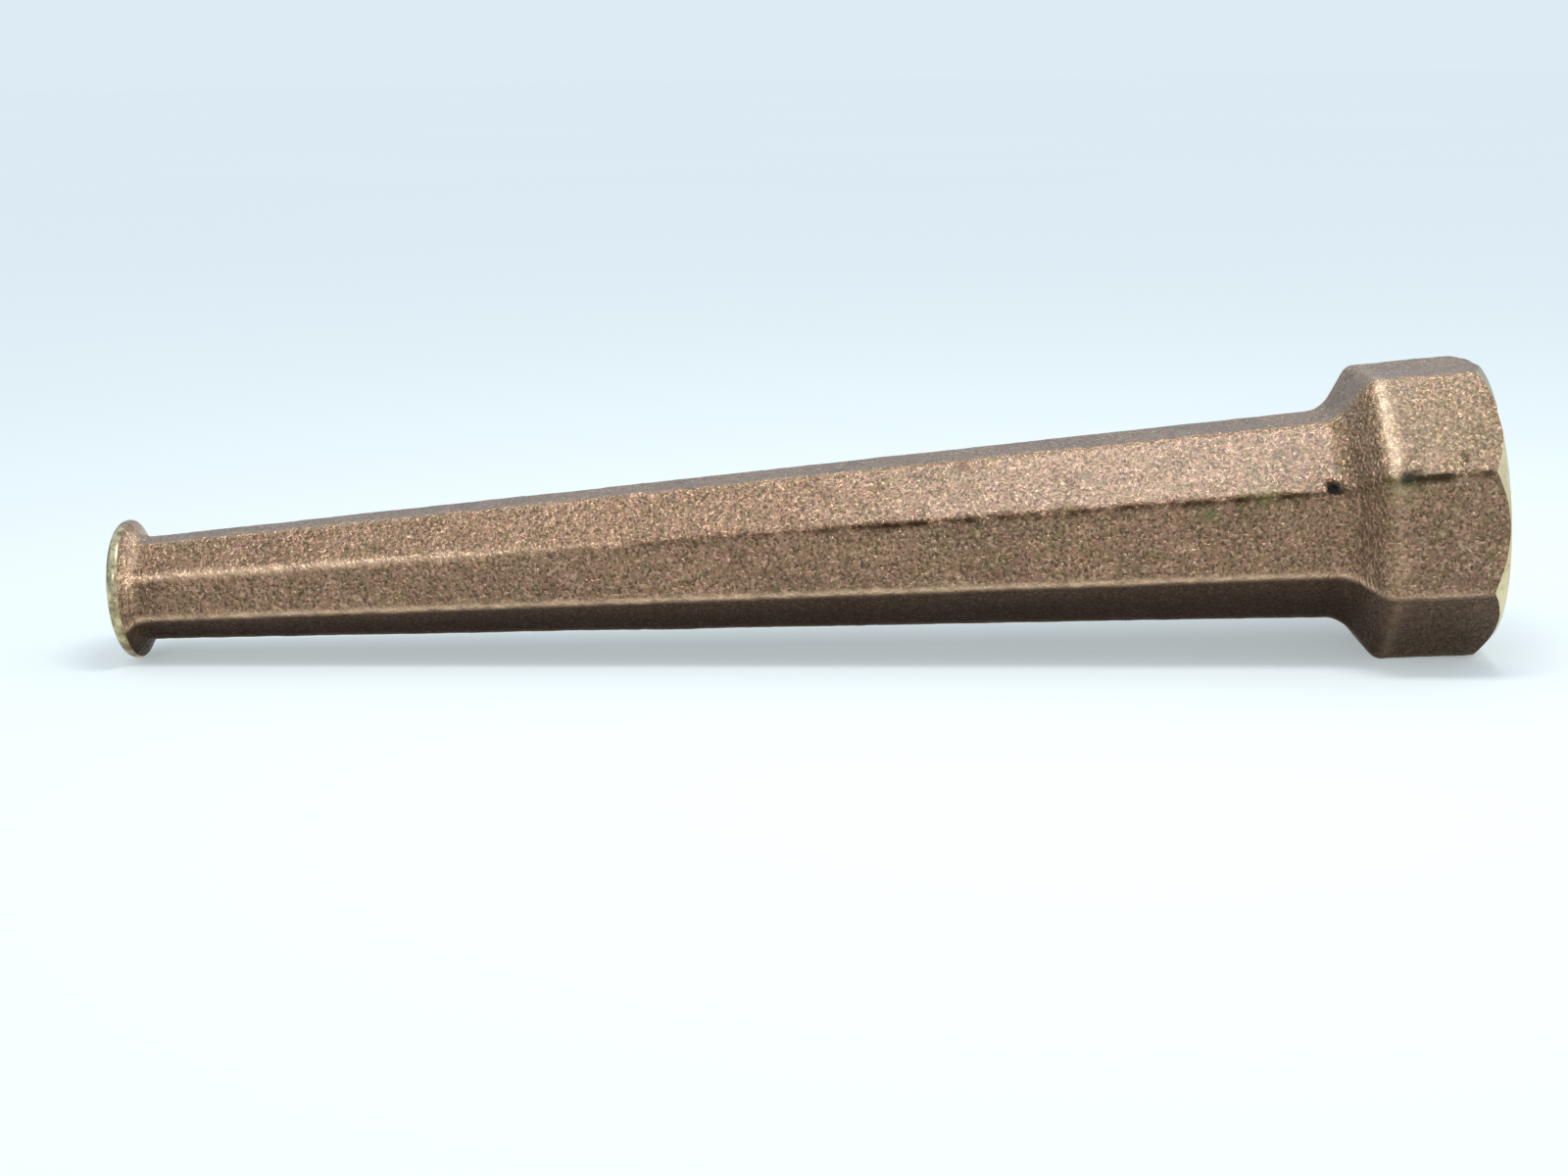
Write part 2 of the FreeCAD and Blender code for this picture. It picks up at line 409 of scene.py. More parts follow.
def bead_outline(size):
    """Line (x, radius) of the bead: quarter-round nose, rounded back, slope, and cove down to
    the flats."""
    x_ring = -size.overall_length + size.bead_nose
    quarter = np.linspace(0, math.pi / 2, 9)
    nose = np.stack([x_ring - size.bead_nose * np.cos(quarter),
                     size.bead_radius - size.bead_nose * (1 - np.sin(quarter))], axis=1)
    back_angle = np.linspace(0, size.bead_slope, 7)[1:]
    back = np.stack([x_ring + size.bead_back * np.sin(back_angle),
                     size.bead_radius - size.bead_back * (1 - np.cos(back_angle))], axis=1)
    foot = body_apothem(size, x_ring)
    cove_top = foot + size.bead_cove * (1 - math.cos(size.bead_slope))
    x_top = back[-1, 0] + (back[-1, 1] - cove_top) / math.tan(size.bead_slope)
    cove_angle = np.linspace(size.bead_slope, 0, 9)
    x_centre = x_top + size.bead_cove * math.sin(size.bead_slope)
    cove = np.stack([x_centre - size.bead_cove * np.sin(cove_angle),
                     foot + size.bead_cove * (1 - np.cos(cove_angle))], axis=1)
    return nose, np.vstack([back, cove])


def skin_relief(look, points, angle):
    """Depth below the ideal surface, and masks for holes and stains.

    The depth is never negative: a broad swell, lumps and grains from three random fields, and
    a round hollow for each blow hole.  Along the mould's parting line, which runs through two
    opposite corners, ragged flash takes up what the swell leaves."""
    swell = lattice_noise(points, 0.011, 1) * 0.6 + lattice_noise(points, 0.005, 2) * 0.4
    lumps = lattice_noise(points, 0.0021, 3)
    grains = lattice_noise(points, 0.00075, 4)
    depth = look.swell * swell + look.lumps * lumps + look.grains * grains
    off_line = np.abs((angle - SEAM_CORNER + math.pi / 2) % math.pi - math.pi / 2)
    along = on_axis(points)
    ragged = lattice_noise(along, 0.0016, 5) * lattice_noise(along, 0.006, 6) * 2
    flash = peak(off_line * off_axis(points), 0.00035) * np.clip(ragged, 0, 1)
    depth = np.clip(depth - look.flash * flash, 0, None)
    holes = np.zeros_like(depth)
    for x, degrees, wide, deep in BLOW_HOLES:
        rim = wide * (0.85 + 0.3 * lattice_noise(points, wide * 0.8, 7))
        inside = 1 - smooth_step(0.58, 1.18, distance_on_skin(points, angle, x, degrees) / rim)
        depth = depth + deep * inside
        holes = np.maximum(holes, inside * min(1.0, deep / FULL_DARK_DEPTH))
    stains = np.zeros_like(depth)
    for x, degrees, wide, strength in STAINS:
        patch = peak(distance_on_skin(points, angle, x, degrees, 0.8), wide)
        stains = stains + strength * patch * (0.6 + lattice_noise(points, 0.0008, 8))
    return depth, holes, np.clip(stains, -1, 1)


def hub_share(x):
    """0 on the taper, 1 on the hub."""
    return smooth_step(-0.022, -0.014, x)


def rubbed_and_highlit_edges(points, x, angle, off_seam):
    """Bright edges, each peak(distance, width) around its line: all along the low corner but
    fainter on the hub, along the seam's corner towards the tip, faint on the other corners,
    around the hub's crest where it faces the light, and on the bead's upper side.  The faint
    strips are rubbed metal; the others are rubbed metal with a painted highlight where light
    catches the edge."""
    # Painted highlight on rubbed metal: the bright floor's reflection on the low corner, a
    # little below the corner.
    low_edge = peak((angle - LOW_CORNER) * off_axis(points) - 0.0003, BRIGHT_EDGE_WIDTH)
    low_edge *= 1 - 0.55 * hub_share(x)
    # Painted highlight: on the seam's corner only towards the tip, where the lamp at the left
    # catches it.
    high_edge = peak(off_seam, BRIGHT_EDGE_WIDTH) * (1 - smooth_step(-0.180, -0.105, x))
    others = peak(angle_off_corner(angle) * off_axis(points), BRIGHT_EDGE_WIDTH) * 0.25
    others *= np.abs(off_seam) > 0.003
    # Painted highlight: the crest's strip is strongest on the upper front side, which faces the
    # lamp.
    crest = 0.9 * peak(x + 0.0154, 0.0009)
    crest *= 0.22 + 0.78 * peak(angle - 6 * HALF_SIDE, 0.5, 4)
    # Painted highlight on the bead's rubbed rim: bright on its upper side, faint below.
    bead = peak(x - x.min() - 0.0028, 0.0007)
    bead *= 0.1 + smooth_step(-0.45, 0.20, np.sin(angle))
    wear_and_highlight = np.maximum.reduce([low_edge * 1.05, high_edge, others, crest, bead])
    return np.clip(wear_and_highlight * (0.35 + 0.9 * lattice_noise(points, 0.0011, 11)), 0, 1)


def parting_seam(points, x, off_seam):
    """Dark line beside the seam's corner: ragged, from the middle of the taper to the inlet's
    face, weak on the shoulder and beside the face, and strongest on the hub."""
    along = on_axis(points)
    ragged = lattice_noise(along, 0.0011, 12) * 0.6 + lattice_noise(along, 0.004, 13) * 0.6
    seam = peak(off_seam - 0.0002, SEAM_WIDTH) * smooth_step(-0.150, -0.080, x)
    seam *= smooth_step(0.05, 0.75, ragged) * (0.45 + 1.3 * lattice_noise(points, 0.0007, 14))
    seam *= 0.85 + 0.5 * smooth_step(-0.018, -0.013, x)
    seam *= 1 - 0.75 * peak(x + 0.0195, 0.0024, 4)
    return np.clip(seam * (1 - 0.7 * smooth_step(-0.0095, -0.007, x)), 0, 1)


def underside_shade(x, angle):
    """Painted shade on the flats that face down and on the back of the bead below, a little less
    on the hub; deepest straight below."""
    down = -np.sin(angle)
    flare = peak(x - x.min() - 0.0052, 0.0022) * smooth_step(0.34, 0.60, down) * 1.1
    shade = np.clip(np.maximum(smooth_step(0.48, 0.70, -np.sin(facing_angle())), flare), 0, 1)
    shade *= 0.84 + 0.16 * smooth_step(0.50, 0.85, down)
    return shade * (1 - 0.22 * hub_share(x))


def edge_seam_and_shade_masks(points):
    """Masks of the edges that use has rubbed, with painted highlights on them, of the dark seam
    that the mould has left, and of painted shade on the underside.
    """
    x = points[..., 0]
    angle = np.arctan2(points[..., 2], points[..., 1]) % (2 * math.pi)
    off_seam = (angle - SEAM_CORNER) * off_axis(points)
    return (rubbed_and_highlit_edges(points, x, angle, off_seam), parting_seam(points, x, off_seam),
            underside_shade(x, angle))


def thread_radius(bore, x, angle):
    """Radius of the right-hand internal thread: a trapezoid wave of x / pitch - turns, with
    60 degree flanks and equal flats at crest and root."""
    depth = bore.thread_root - bore.thread_crest
    flank = depth * math.tan(THREAD_FLANK) / bore.thread_pitch
    flat = 0.5 - flank
    phase = (x / bore.thread_pitch - angle / (2 * math.pi)) % 1.0
    away = np.abs(phase - 0.5) * 2
    rise = np.clip((1 - flat - away) / (1 - 2 * flat), 0, 1)
    return bore.thread_crest + depth * rise


def outer_rows(size, look):
    """Cast and turned outside, from the tip's edge to the inlet's face, as rows of points, with
    one finish per row and the masks of holes and stains."""
    nose, back = bead_outline(size)
    outline = octagon_outline(size)
    ring_apothem, soft, cast_fade, above_face = 0.015, 0.0004, 0.0004, -0.00004
    ring_angle = octagon_columns(ring_apothem, size.body_corner)[1]

    nose_points = cylinder_points(nose[:, :1], nose[:, 1:], ring_angle)

    # Bead's back: the circle eases into the octagon, and the radius is their smooth maximum.
    x = back[:, :1]
    apothem = np.interp(x, outline[:, 0], outline[:, 1])
    oct_angle = octagon_columns(apothem, size.body_corner)[1]
    ease = smooth_step(back[0, 0], back[-1, 0], x)
    angle = ring_angle + (oct_angle - ring_angle) * ease
    flats = octagon_radius(angle, apothem, size.body_corner)
    radius = (back[:, 1:] + flats + np.sqrt((back[:, 1:] - flats) ** 2 + soft ** 2 * ease)) / 2
    back_points = cylinder_points(x, radius, angle)

    # Taper and shoulder: octagons, one per row.
    taper_x = spread(back[-1, 0], outline[1, 0], TAPER_ROWS, [hole[0] for hole in BLOW_HOLES],
                     width=0.0012, extra=3.5)[1:-1]
    x = np.concatenate([taper_x, outline[1:-1, 0]])[:, None]
    apothem = np.interp(x, outline[:, 0], outline[:, 1])
    share = smooth_step(size.body_flats_large / 2, size.hub_flats_shoulder / 2, apothem)
    corner = size.body_corner + (size.hub_corner - size.body_corner) * share
    radius, angle = octagon_columns(apothem, corner)
    taper_points = cylinder_points(x, radius, angle)

    # Hub: rows run from the crest to the edge that the turned cone cuts.
    edge = np.full((1, radius.shape[1]), -0.002)
    for _ in range(4):
        wall, angle = octagon_columns(hub_apothem(size, edge), size.hub_corner)
        points = cylinder_points(edge, wall, angle)
        wall = wall - skin_relief(look, points, angle)[0]
        reach = np.hypot(wall * np.sin(angle) - size.nose_offset, wall * np.cos(angle))
        edge = np.minimum(-(reach - size.nose_radius) / size.nose_slope, above_face)
    start = outline[-2, 0]
    share = spread(0, 1, HUB_ROWS)[1:, None]
    x = start + (edge - start) * share
    wall, angle = octagon_columns(hub_apothem(size, x), size.hub_corner)
    hub_points = cylinder_points(x, wall, angle)

    cast = np.concatenate([back_points, taper_points, hub_points])
    cast_angle = np.unwrap(np.arctan2(cast[..., 2], cast[..., 1]), axis=-1)
    depth, holes, stains = skin_relief(look, cast, cast_angle)
    land = -size.overall_length + size.bead_nose + size.bead_land
    fade = smooth_step(land, land + cast_fade, cast[..., 0])
    cast = cylinder_points(cast[..., 0], off_axis(cast) - depth * fade, cast_angle)

    # Turned cone around its own axis, from that edge to the face.
    share = np.array([0.03, 0.25, 0.5, 0.75, 0.97, 1.0])[:, None]
    x = edge * (1 - share)
    lift = size.nose_offset
    cone = lift * np.sin(angle[-1]) + np.sqrt(
        (size.nose_radius - size.nose_slope * x) ** 2 - (lift * np.cos(angle[-1])) ** 2)
    cone_points = cylinder_points(x, np.minimum(cone, off_axis(cast[-1])), angle[-1])

    points = np.concatenate([nose_points, cast, cone_points])
    first_cast = len(nose_points) + int(np.argmax(back[:, 0] > land))
    finish = np.repeat([TIP, SKIN, TURNED],
                       [first_cast, len(nose_points) + len(cast) - first_cast - 1,
                        len(cone_points) + 1])
    pad = ((len(nose_points), len(cone_points)), (0, 0))
    return points, finish, np.pad(holes, pad), np.pad(stains, pad)


def inner_rows(size, bore, outside):
    """Turned and bored inside, from the inlet's face back to the tip's edge, with one finish
    per row."""
    angle = np.arctan2(outside[-1, :, 2], outside[-1, :, 1])[None]
    rim = off_axis(outside[-1:])
    bevel, throat_rounding, throat_rows, on_face = 0.00012, 0.001, 15, 0.00005
    share = np.array([0.04, 0.35, 0.7, 0.97])[:, None]
    face_radius = rim + (bore.mouth_radius - rim) * share
    face = cylinder_points(np.zeros_like(face_radius), face_radius, angle)

    x = np.linspace(0, bore.thread_end, THREAD_ROWS)[:, None]
    lead_in = bore.mouth_radius + x
    thread = cylinder_points(x, np.maximum(thread_radius(bore, x, angle), lead_in), angle)

    x_orifice = -size.overall_length + bore.orifice_length
    line = rounded_line(
        [(bore.thread_end, bore.thread_root),
         (bore.thread_end, bore.recess_radius),
         (bore.seat, bore.recess_radius),
         (bore.seat, bore.waterway_radius),
         (x_orifice, bore.orifice_radius),
         (-size.overall_length, bore.orifice_radius),
         (-size.overall_length, size.bead_radius - size.bead_nose)],
        [bevel, bevel * 2, bevel * 2, throat_rounding, bevel * 2], 3)[1:]
    long = np.linspace(bore.seat - 0.001, x_orifice + 0.002, throat_rows + 1)[1:]
    share = (long - bore.seat) / (x_orifice - bore.seat)
    radius = bore.waterway_radius + (bore.orifice_radius - bore.waterway_radius) * share
    cut_in = int(np.argmax(line[:, 0] < bore.seat - 0.0008))
    line = np.vstack([line[:cut_in], np.stack([long, radius], axis=1), line[cut_in:]])
    tip_share = np.array([0.3, 0.65, 0.97])[:, None]
    line = np.vstack([line[:-1], line[-2] + (line[-1] - line[-2]) * tip_share])
    bored = cylinder_points(line[:, :1], line[:, 1:], angle)
    finish_bored = np.where(line[:, 0] > bore.seat - 0.0002, TURNED, BORED)
    finish_bored[line[:, 0] < -size.overall_length + on_face] = TIP
    finish = np.repeat([TURNED, THREADED, TURNED], [len(face), len(thread) - 1, 1])
    return np.concatenate([face, thread, bored]), np.concatenate([finish, finish_bored])


def new_piece(name, points, quads):
    """Object of these points and quads, linked to the scene."""
    mesh = bpy.data.meshes.new(name)
    mesh.from_pydata(points.reshape(-1, 3).tolist(), [], quads.tolist())
    piece = bpy.data.objects.new(name, mesh)
    bpy.context.scene.collection.objects.link(piece)
    return piece


def grid_quads(points):
    """Quads of a grid of points: quad (i, j) joins rows i, i + 1 and columns j, j + 1, and the
    last row and column join the first."""
    index = np.arange(points[..., 0].size).reshape(points.shape[:2])
    right = np.roll(index, -1, axis=1)
    return np.stack([index, right, np.roll(right, -1, axis=0), np.roll(index, -1, axis=0)],
                    axis=-1)


def closed_grid(name, points, finish, sharp_rows=()):
    """Piece from a grid of points that closes on itself both ways, with outward faces; a quad
    takes the finish of its first row."""
    columns = points.shape[1]
    quads = grid_quads(points).reshape(-1, 4)
    a, b, c, d = (points.reshape(-1, 3)[quads[:, k]] for k in range(4))
    volume = np.einsum("ij,ij->", a, np.cross(b, c)) + np.einsum("ij,ij->", a, np.cross(c, d))
    if volume < 0:
        quads = quads[:, ::-1]
    piece = new_piece(name, points, quads)
    mesh = piece.data
    mesh.polygons.foreach_set("material_index", np.repeat(finish, columns).astype(np.int32))
    mesh.polygons.foreach_set("use_smooth", np.ones(len(quads), dtype=bool))
    if len(sharp_rows):
        ends = np.empty(len(mesh.edges) * 2, dtype=np.int32)
        mesh.edges.foreach_get("vertices", ends)
        ends = ends.reshape(-1, 2) // columns
        sharp = (ends[:, 0] == ends[:, 1]) & np.isin(ends[:, 0], sharp_rows)
        mesh.attributes.new("sharp_edge", "BOOLEAN", "EDGE").data.foreach_set("value", sharp)
    mesh.update()
    return piece


def mark(piece, name, values):
    """Stores one number per vertex for the materials to read."""
    layer = piece.data.attributes.new(name, "FLOAT", "POINT")
    layer.data.foreach_set("value", np.asarray(values, np.float32).reshape(-1))


# Materials

class Board:
    """Shorthand for building one node tree."""

    def __init__(self, tree):
        self.tree = tree

    def put(self, end, value):
        """Links an input to a socket, or sets it; colours have three numbers."""
        if isinstance(value, bpy.types.NodeSocket):
            self.tree.links.new(value, end)
        else:
            end.default_value = (*value, 1.0) if end.type == "RGBA" else value

    def feed(self, node, **values):
        """Keys that name inputs link or set them; the others set properties."""
        for key, value in values.items():
            end = node.inputs.get(key.replace("_", " "))
            if end is None:
                setattr(node, key, value)
            else:
                self.put(end, value)
        return node

    def add(self, kind, **values):
        """Adds a node and feeds it."""
        return self.feed(self.tree.nodes.new(kind), **values)

    def math(self, operation, *operands):
        """Math node; each operand is a number or a socket."""
        node = self.add("ShaderNodeMath", operation=operation)
        for end, value in zip(node.inputs, operands):
            self.put(end, value)
        return node.outputs[0]

    def times(self, first, second):
        """Product of two operands."""
        return self.math("MULTIPLY", first, second)

    def weigh(self, start, *terms):
        """start plus every socket times its weight."""
        for socket, weight in terms:
            start = self.math("ADD", start, self.times(socket, weight))
        return start

    def ramp(self, value, low, high, out_low=0.0, out_high=1.0):
        """Maps low..high to out_low..out_high with soft ends, clamped."""
        node = self.add("ShaderNodeMapRange", interpolation_type="SMOOTHSTEP", Value=value,
                        From_Min=low, From_Max=high, To_Min=out_low, To_Max=out_high)
        return node.outputs["Result"]

    def mix(self, factor, first, second):
        """Mixes two colours; each is a colour or a socket."""
        node = self.add("ShaderNodeMix", data_type="RGBA")
        for slot, value in ((0, factor), (6, first), (7, second)):
            self.put(node.inputs[slot], value)
        return node.outputs[2]

    def noise(self, vector, scale, detail=2.0, roughness=0.5):
        """Noise from 0 to 1; scale is a number or a socket."""
        return self.add("ShaderNodeTexNoise", Vector=vector, Scale=scale, Detail=detail,
                        Roughness=roughness).outputs["Fac"]

    def layer(self, vector, scale, share, shift, detail):
        """Noise at share times the scale, moved by shift so that layers don't line up."""
        moved = self.add("ShaderNodeVectorMath", operation="ADD", Vector=vector)
        moved.inputs[1].default_value = shift
        return self.noise(moved.outputs[0], self.times(scale, share), detail, 0.6)

    def shared(self, name, vector, **inputs):
        """Outputs of one of the shared effects, fed with a vector."""
        return self.add("ShaderNodeGroup", node_tree=bpy.data.node_groups[name],
                        Vector=vector, **inputs).outputs

    def attribute(self, name):
        """A number stored on the mesh."""
        return self.add("ShaderNodeAttribute", attribute_name=name).outputs["Fac"]

    def place(self):
        """Object coordinates."""
        return self.add("ShaderNodeTexCoord").outputs["Object"]


def effect(name, label, default, outputs):
    """Node group with a vector and one number going in and numbers coming out.  Gives its
    board, the two inputs and the output node."""
    group = bpy.data.node_groups.new(name, "ShaderNodeTree")
    group.interface.new_socket("Vector", in_out="INPUT", socket_type="NodeSocketVector")
    rate = group.interface.new_socket(label, in_out="INPUT", socket_type="NodeSocketFloat")
    rate.default_value = default
    for output in outputs:
        group.interface.new_socket(output, in_out="OUTPUT", socket_type="NodeSocketFloat")
    board = Board(group)
    given = board.add("NodeGroupInput").outputs
    return board, given["Vector"], given[label], board.add("NodeGroupOutput")


def sand_grain_group():
    """Packed grains: domed cells of random tint under three noises.  Gaps are the low places
    of the fine one, and glints the high places of the middle one."""
    board, vector, grains, result = effect(
        "Sand grain", "Grains per metre", 1500.0, ("Height", "Gaps", "Glints", "Tint"))
    cells = board.add("ShaderNodeTexVoronoi", feature="SMOOTH_F1", Smoothness=0.5,
                      Vector=vector, Scale=grains)
    fine, coarse, middle = (
        board.layer(vector, grains, share, (share, 2 * share, 5 * share), detail)
        for share, detail in ((1.35, 3.0), (0.45, 2.0), (1.10, 1.0)))
    domes = board.times(board.math("SUBTRACT", 1.0, cells.outputs["Distance"]), 0.30)
    board.feed(result, Height=board.weigh(domes, (fine, 0.75), (coarse, 0.75)),
               Gaps=board.ramp(fine, 0.36, 0.53, 1.0, 0.0),
               Glints=board.ramp(middle, 0.54, 0.66), Tint=cells.outputs["Color"])


def weather_group():
    """Broad uneven darkening, greenish patches and warm patches of an old bronze surface."""
    board, vector, patches, result = effect("Weather", "Size", 90.0, ("Dark", "Green", "Warm"))
    outputs = (("Dark", 1.0, 0.45, 0.70), ("Green", 1.7, 0.55, 0.72), ("Warm", 2.6, 0.48, 0.66))
    for label, share, low, high in outputs:
        cloud = board.layer(vector, patches, share, (share, share * 3, share * 7), 4.0)
        board.feed(result, **{label: board.ramp(cloud, low, high)})


def tool_mark_group():
    """Fine rings left by a lathe: noise of x and of the distance from the axis.  Streaks are
    the rings times a slow noise."""
    board, vector, marks, result = effect(
        "Tool marks", "Marks per metre", 9000.0, ("Height", "Streaks"))
    split = board.add("ShaderNodeSeparateXYZ", Vector=vector)
    y, z = split.outputs["Y"], split.outputs["Z"]
    radius = board.math("SQRT", board.math("ADD", board.times(y, y), board.times(z, z)))
    ring = board.add("ShaderNodeCombineXYZ", X=split.outputs["X"], Y=radius)
    rings = board.noise(ring.outputs[0], marks, 2.0, 0.7)
    smear = board.noise(vector, board.times(marks, 0.04), 3.0)
    board.feed(result, Height=rings, Streaks=board.times(rings, smear))


def new_material(name):
    """Material with an empty board and its Principled shader linked to the output."""
    material = bpy.data.materials.new(name)
    material.use_nodes = True
    material.node_tree.nodes.clear()
    board = Board(material.node_tree)
    shader = board.add("ShaderNodeBsdfPrincipled")
    board.add("ShaderNodeOutputMaterial", Surface=shader.outputs[0])
    return material, board, shader


def bump(board, height, distance, strength):
    """Normal from a height that varies from 0 to 1, worth distance in metres."""
    return board.add("ShaderNodeBump", Height=height, Strength=strength,
                     Distance=distance).outputs["Normal"]


def cast_skin_material(look):
    """Sand-cast bronze: grains with dark gaps and painted glints, copper bloom, patina, rubbed
    corners with painted highlights, painted shade below and in the holes.
    """
    material, board, shader = new_material("cast_bronze_skin")
    where = board.place()
    grain = board.shared("Sand grain", where)
    weather = board.shared("Weather", where)
    gaps, glints, tint = grain["Gaps"], grain["Glints"], grain["Tint"]
    wear_and_highlight, hole, stain, shade = map(board.attribute, ("wear_and_highlight", "hole", "stain", "shade"))
    green = board.math("MAXIMUM", board.times(stain, -1.0), 0.0)
    # Each layer covers those before it: mask, strength and colour.
    layers = (
        (weather["Warm"], 0.30, look.bronze_pink),
        (board.ramp(tint, 0.35, 0.85), 0.35, look.bronze_pink),
        (board.ramp(tint, 0.45, 0.15), 0.35, look.patina),
        (weather["Dark"], 0.28, look.bronze_dark),
        (weather["Green"], 0.26, look.patina),
        (gaps, 0.74, look.bronze_dark),
        # Painted glints: pale colour on the grains' high places.
        (glints, 0.36, look.burnished),
        # Painted shade on the side facing down, and the dark seam line.
        (shade, look.underside, SHADE_AND_SEAM),
        # Rubbed metal on the edges, with painted highlights.
        (wear_and_highlight, 0.90, look.burnished),
        (green, 0.7, look.patina),
        (board.math("MAXIMUM", stain, 0.0), 1.0, RUST),
        # Painted shade inside the pits.
        (hole, 1.0, PIT_SHADE),
    )
    skin = look.bronze
    for mask, strength, tone in layers:
        skin = board.mix(board.times(mask, strength), skin, tone)
    # No coat's sheen where the painted shade and the pits are.
    bare = board.math("MINIMUM", board.math("ADD", shade, hole), 1.0)
    board.feed(
        shader, Base_Color=skin, Metallic=board.weigh(0.94, (gaps, -0.30), (hole, -0.8)),
        Roughness=board.weigh(0.30, (gaps, 0.26), (glints, -0.10), (wear_and_highlight, -0.08), (hole, 0.4)),
        Coat_Weight=board.times(board.math("SUBTRACT", 1.0, bare), 0.50), Coat_Roughness=0.32,
        Normal=bump(board, grain["Height"], GRAIN_HEIGHT, 1.0))
    return material


def turned_material(look, name, marks, deep, roughness, tarnish, patches):
    """Machined bronze with lathe rings.  Noise with this many patches per metre lays brown
    tarnish over it, all over at 1 and nowhere at 0."""
    material, board, shader = new_material(name)
    where = board.place()
    rings = board.shared("Tool marks", where, Marks_per_metre=marks)
    weather = board.shared("Weather", where, Size=patches)
    film = board.ramp(board.noise(where, patches, 6.0, 0.72), 0.65 - 0.5 * tarnish,
                      0.93 - 0.5 * tarnish)
    metal = board.mix(board.times(weather["Green"], 0.25), look.turned, look.patina)
    metal = board.mix(board.ramp(rings["Streaks"], 0.15, 0.40, 0.0, 0.25), metal, look.bronze)
    metal = board.mix(board.times(film, 0.70), metal, look.tarnish)
    board.feed(shader, Base_Color=metal, Metallic=1.0,
               Roughness=board.weigh(roughness, (rings["Streaks"], 0.25)),
               Normal=bump(board, rings["Height"], deep, 0.6))
    return material


def rubber_material(look):
    """Black washer rubber with a faint bloom and moulded grain."""
    material, board, shader = new_material("washer_black_rubber")
    where = board.place()
    weather = board.shared("Weather", where, Size=400.0)
    fine = board.noise(where, 5200.0, 3.0, 0.6)
    board.feed(shader, Metallic=0.0,
               Base_Color=board.mix(board.times(weather["Warm"], 0.5), look.rubber, BLOOM),
               Roughness=board.ramp(fine, 0.3, 0.7, 0.55, 0.75),
               Normal=bump(board, fine, 0.00004, 0.5))
    return material


def table_material(stage):
    """Plain pale table with hardly visible clouds, and light that comes up through it."""
    material, board, shader = new_material("pale_table")
    clouds = board.ramp(board.noise(board.place(), 3.0), 0.3, 0.7)
    board.feed(shader, Roughness=0.9, Specular_IOR_Level=0.0, Emission_Color=GLOW,
               Emission_Strength=stage.glow,
               Base_Color=board.mix(clouds, stage.table, [c * 0.985 for c in stage.table]))
    return material


def material(name, maker, *args):
    """The material of this name, made the first time it is asked for."""
    return bpy.data.materials.get(name) or maker(*args)


# Operators

class NOZZLE_OT_finishes(bpy.types.Operator):
    """Builds the shared surface effects"""
    bl_idname = "nozzle.finishes"
    bl_label = "Surface effects"

    def execute(self, context):
        sand_grain_group()
        weather_group()
        tool_mark_group()
        return {"FINISHED"}


class NOZZLE_OT_casting(bpy.types.Operator):
    """Builds the bronze casting: cast skin, turned faces, hose thread and waterway"""
    bl_idname = "nozzle.casting"
    bl_label = "Bronze casting"

    def execute(self, context):
        scene = context.scene
        size, bore, look = scene.nozzle_casting, scene.nozzle_bore, scene.nozzle_skin
        outside, finish_out, holes, stains = outer_rows(size, look)
        inside, finish_in = inner_rows(size, bore, outside)
        points = np.concatenate([outside, inside])
        finish = np.concatenate([finish_out, finish_in])
        changes = np.nonzero(finish != np.roll(finish, 1))[0]
        piece = closed_grid("bronze_casting", points, finish, changes)
        wear_and_highlight, seam, shade = edge_seam_and_shade_masks(points)
        outer = np.arange(len(points))[:, None] < len(outside)
        pad = ((0, len(inside)), (0, 0))
        mark(piece, "wear_and_highlight", wear_and_highlight * outer)
        mark(piece, "hole", np.pad(holes, pad))
        mark(piece, "stain", np.pad(stains, pad))
        # The shade attribute holds painted shade on the side facing down and the dark seam line.
        mark(piece, "shade", np.maximum(shade, seam) * outer)
        piece.data.materials.append(material("cast_bronze_skin", cast_skin_material, look))
        for name, *settings in MACHINED:
            piece.data.materials.append(material(name, turned_material, look, name, *settings))
        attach(piece, "root")
        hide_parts("nozzle_body")
        return {"FINISHED"}


class NOZZLE_OT_washer(bpy.types.Operator):
    """Builds the rubber hose washer on its seat"""
    bl_idname = "nozzle.washer"
    bl_label = "Hose washer"

    def execute(self, context):
        outer, inner, rim = WASHER_HIGH.y, 0.01225, 0.00045
        low, high = WASHER_LOW.x, WASHER_HIGH.x
        line = rounded_line(
            [(low, (inner + outer) / 2), (low, outer), (high, outer), (high, inner),
             (low, inner), (low, (inner + outer) / 2)],
            [rim] * 4, 5)[:-1]
        angle = np.linspace(0, 2 * math.pi, WASHER_COLUMNS, endpoint=False)[None]
        points = cylinder_points(line[:, :1], line[:, 1:], angle)
        piece = closed_grid("rubber_washer", points, np.zeros(len(points), int))
        piece.data.materials.append(
            material("washer_black_rubber", rubber_material, context.scene.nozzle_skin))
        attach(piece, "root")
        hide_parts("hose_washer")
        return {"FINISHED"}


def resting_plane(piece):
    """Point and slope of the table: it touches the bead from below and, of all points on the
    hub, the one that makes the steepest line with it."""
    places = np.empty(len(piece.data.vertices) * 3, dtype=np.float32)
    piece.data.vertices.foreach_get("co", places)
    places = places.reshape(-1, 3)
    bead = places[places[:, 0] < BEAD_END]
    hub = places[places[:, 0] > HUB_START]
    foot = bead[np.argmin(bead[:, 2])]
    for _ in range(4):
        slopes = (foot[2] - hub[:, 2]) / (hub[:, 0] - foot[0])
        tilt = math.atan(slopes.max())
        foot = bead[np.argmin(bead[:, 2] * math.cos(tilt) + bead[:, 0] * math.sin(tilt))]
    return Vector(foot.tolist()), tilt


